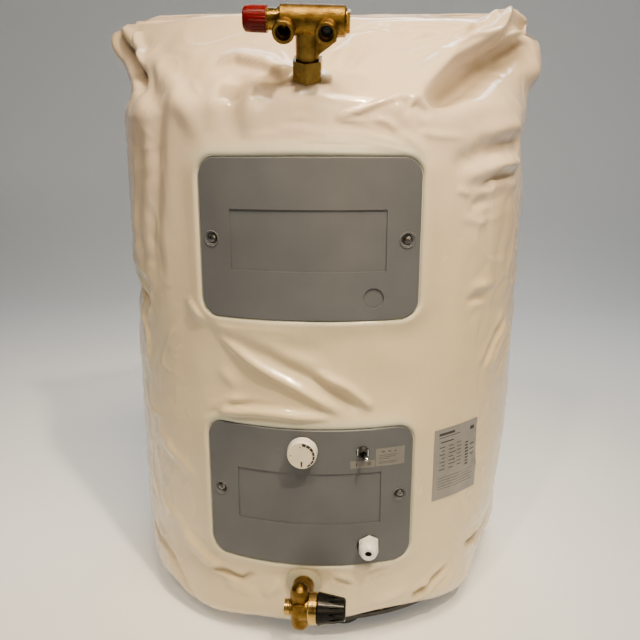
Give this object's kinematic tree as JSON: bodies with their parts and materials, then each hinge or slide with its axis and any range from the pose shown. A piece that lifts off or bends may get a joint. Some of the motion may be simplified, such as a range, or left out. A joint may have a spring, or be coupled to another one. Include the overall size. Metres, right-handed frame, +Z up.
{
  "type": "storage water heater",
  "caption": "Upright electric storage water heater in a soft jacket, with access covers, thermostat knob, switch, mixing valve on top and safety valve at the bottom.",
  "frame": {"origin": "on the tank's axis at floor level, in the plane of the feet's undersides", "axes": "+Z up along the tank's axis, -Y towards the covers and valves, +X to the right seen from the front"},
  "size_m": [0.626, 0.6494, 0.829],
  "materials": {
    "jacket_film": "gloss",
    "foam": "matte",
    "tank_steel": "satin",
    "stainless": "satin",
    "copper_alloy": "satin",
    "black_plastic": "satin",
    "dark_plastic": "matte",
    "cover_grey": "satin",
    "frame_pale": "satin",
    "cream_plastic": "satin",
    "white_plastic": "satin",
    "steel_screw": "gloss",
    "seal_rubber": "matte",
    "cast_brass": "satin",
    "bright_brass": "gloss",
    "red_plastic": "gloss"
  },
  "bodies": {
    "heater": {"base_plate": "black_plastic", "check_valve_cage": "dark_plastic", "cold_dip_tube": "stainless", "drain_stub": "tank_steel", "element_flange": "tank_steel", "element_gasket": "seal_rubber", "feet": "black_plastic", "flange_bolts": "steel_screw", "foam_insulation": "foam", "gland_body": "white_plastic", "gland_dome_nut": "white_plastic", "gland_locknut": "white_plastic", "gland_seal": "seal_rubber", "heating_elements": "copper_alloy", "hot_outlet_stub": "tank_steel", "inner_tank": "tank_steel", "jacket": "jacket_film", "lower_cover": "cover_grey", "lower_cover_frame": "frame_pale", "lower_cover_screws": "steel_screw", "mixing_end_plug": "cast_brass", "mixing_headwork": "cast_brass", "mixing_return_spring": "stainless", "mixing_valve_body": "cast_brass", "pipe_collar": "frame_pale", "safety_bonnet": "bright_brass", "safety_side_plug": "bright_brass", "safety_spring": "stainless", "safety_valve_body": "bright_brass", "sensor_pocket": "copper_alloy", "tank_legs": "tank_steel", "terminal_block": "dark_plastic", "thermal_cutout": "dark_plastic", "thermostat_body": "dark_plastic", "toggle_switch_body": "steel_screw", "toggle_switch_nut": "steel_screw", "union_gasket": "seal_rubber", "union_nut": "cast_brass", "upper_cover": "cover_grey", "upper_cover_frame": "frame_pale", "upper_cover_screws": "steel_screw"},
    "thermostat_dial": {"thermostat_knob": "cream_plastic", "thermostat_spindle": "stainless"},
    "switch_lever": {"toggle_lever": "steel_screw"},
    "mixing_adjuster": {"mixing_cap": "red_plastic", "mixing_spindle": "bright_brass"},
    "mixing_shuttle": {"mixing_piston": "bright_brass", "wax_element": "bright_brass"},
    "check_poppet": {"check_valve_poppet": "white_plastic"},
    "safety_handle": {"safety_knob": "black_plastic"},
    "safety_stem": {"safety_disc": "bright_brass"}
  },
  "joints": [
    {"name": "thermostat_turn", "type": "hinge", "parent": "heater", "child": "thermostat_dial", "pos_m": [-0.006, -0.3, 0.288], "axis": [0, 1, 0], "range_deg": [0, 270]},
    {"name": "switch_throw", "type": "hinge", "parent": "heater", "child": "switch_lever", "pos_m": [0.067, -0.28665, 0.284], "axis": [0, 0, -1], "range_deg": [0, 26]},
    {"name": "mixing_turn", "type": "hinge", "parent": "heater", "child": "mixing_adjuster", "pos_m": [-0.02582, -0.30164, 0.77194], "axis": [-0.9992, 0, 0.0401], "range_deg": [-150, 150]},
    {"name": "mixing_slide", "type": "slide", "parent": "heater", "child": "mixing_shuttle", "axis": [0.9992, 0, -0.0401], "range_m": [-0.0007, 0.0007], "deforming": ["mixing_return_spring"]},
    {"name": "check_lift", "type": "slide", "parent": "heater", "child": "check_poppet", "axis": [0.0188, 0.8829, 0.4691], "range_m": [0, 0.0015], "stiffness_N_per_m": 20, "springref_m": -0.002},
    {"name": "safety_turn", "type": "hinge", "parent": "heater", "child": "safety_handle", "pos_m": [0.0045, -0.34, 0.101], "axis": [1, 0, 0], "range_deg": [0, 90]},
    {"name": "safety_lift", "type": "slide", "parent": "heater", "child": "safety_stem", "axis": [1, 0, 0], "range_m": [0, 0.0015], "deforming": ["safety_spring"]}
  ],
  "couplings": [
    {"joint": "mixing_slide", "follows": "mixing_turn", "m_per_rad": 0.00023873},
    {"joint": "safety_lift", "follows": "safety_turn", "m_per_rad": 0.00095}
  ]
}
